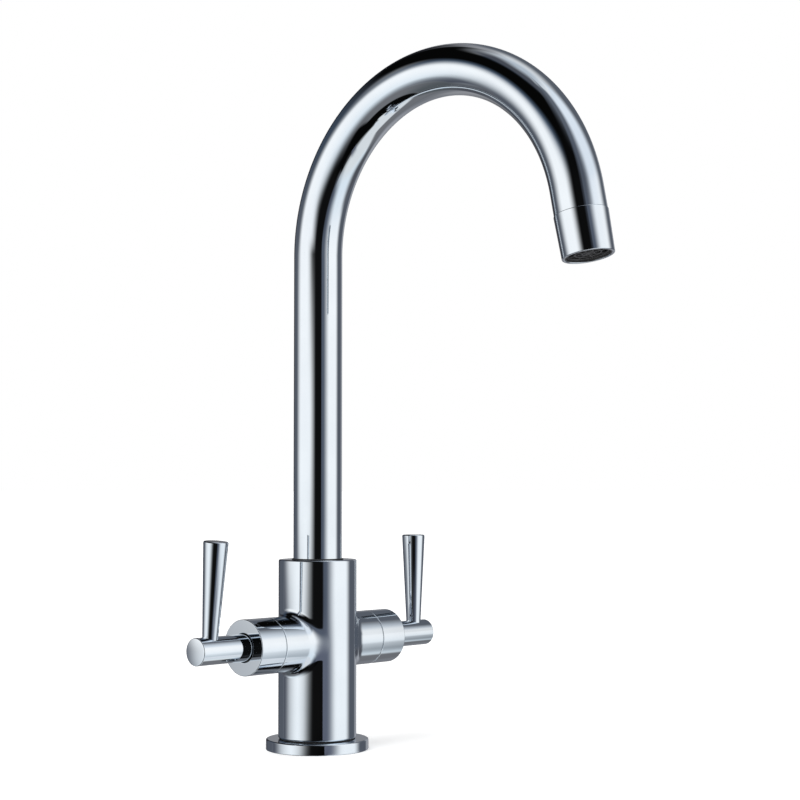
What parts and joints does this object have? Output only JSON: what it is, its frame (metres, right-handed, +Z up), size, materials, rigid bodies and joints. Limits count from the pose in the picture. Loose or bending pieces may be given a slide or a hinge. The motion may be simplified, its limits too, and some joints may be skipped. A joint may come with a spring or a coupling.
{
  "type": "kitchen tap",
  "caption": "Monobloc kitchen mixer tap: chrome barrel on a round flange, quarter-turn lever valves on side arms, swivelling swan-neck spout with an aerator nozzle.",
  "frame": {"origin": "on the axis of the body, in the plane of the flange's underside, which is the deck", "axes": "+Z up along the body, -Y towards the user, where the spout points at rest, -X the hot side and +X the cold side"},
  "size_m": [0.187, 0.2372, 0.3925],
  "materials": {
    "chrome_plate": "polished",
    "brass": "satin",
    "stainless_steel": "satin",
    "ceramic": "satin",
    "black_rubber": "matte",
    "nylon": "satin",
    "dark_plastic": "satin"
  },
  "bodies": {
    "tap_body": {"mixer_body": "chrome_plate", "base_flange": "chrome_plate", "base_gasket": "black_rubber", "spout_locking_screw": "stainless_steel", "spout_glide_washer": "nylon", "hot_shroud": "chrome_plate", "hot_valve_housing": "brass", "hot_valve_o_ring": "black_rubber", "hot_seat_seal": "black_rubber", "hot_fixed_disc": "ceramic", "cold_shroud": "chrome_plate", "cold_valve_housing": "brass", "cold_valve_o_ring": "black_rubber", "cold_seat_seal": "black_rubber", "cold_fixed_disc": "ceramic"},
    "spout": {"spout_tube": "chrome_plate", "spout_foot": "brass", "spout_o_rings": "black_rubber", "spout_bearing_ring": "nylon", "outlet_ferrule": "brass", "nozzle_sleeve": "chrome_plate", "aerator_seal": "black_rubber", "aerator_housing": "dark_plastic", "aerator_jet_plate": "dark_plastic", "aerator_screens": "stainless_steel", "aerator_grid": "dark_plastic"},
    "hot_handle": {"hot_moving_disc": "ceramic", "hot_spindle": "brass", "hot_spindle_o_rings": "black_rubber", "hot_spindle_clip": "stainless_steel", "hot_handle_hub": "chrome_plate", "hot_hub_screw": "stainless_steel", "hot_lever": "chrome_plate"},
    "cold_handle": {"cold_moving_disc": "ceramic", "cold_spindle": "brass", "cold_spindle_o_rings": "black_rubber", "cold_spindle_clip": "stainless_steel", "cold_handle_hub": "chrome_plate", "cold_hub_screw": "stainless_steel", "cold_lever": "chrome_plate"}
  },
  "joints": [
    {"name": "spout_swivel", "type": "hinge", "parent": "tap_body", "child": "spout", "pos_m": [0, 0, 0.1085], "axis": [0, 0, 1], "continuous": true},
    {"name": "hot_lever_turn", "type": "hinge", "parent": "tap_body", "child": "hot_handle", "pos_m": [-0.0829, 0, 0.0614], "axis": [1, 0, 0], "range_deg": [-4.7, 85.3]},
    {"name": "cold_lever_turn", "type": "hinge", "parent": "tap_body", "child": "cold_handle", "pos_m": [0.0829, 0, 0.0614], "axis": [1, 0, 0], "range_deg": [0, 90]}
  ]
}
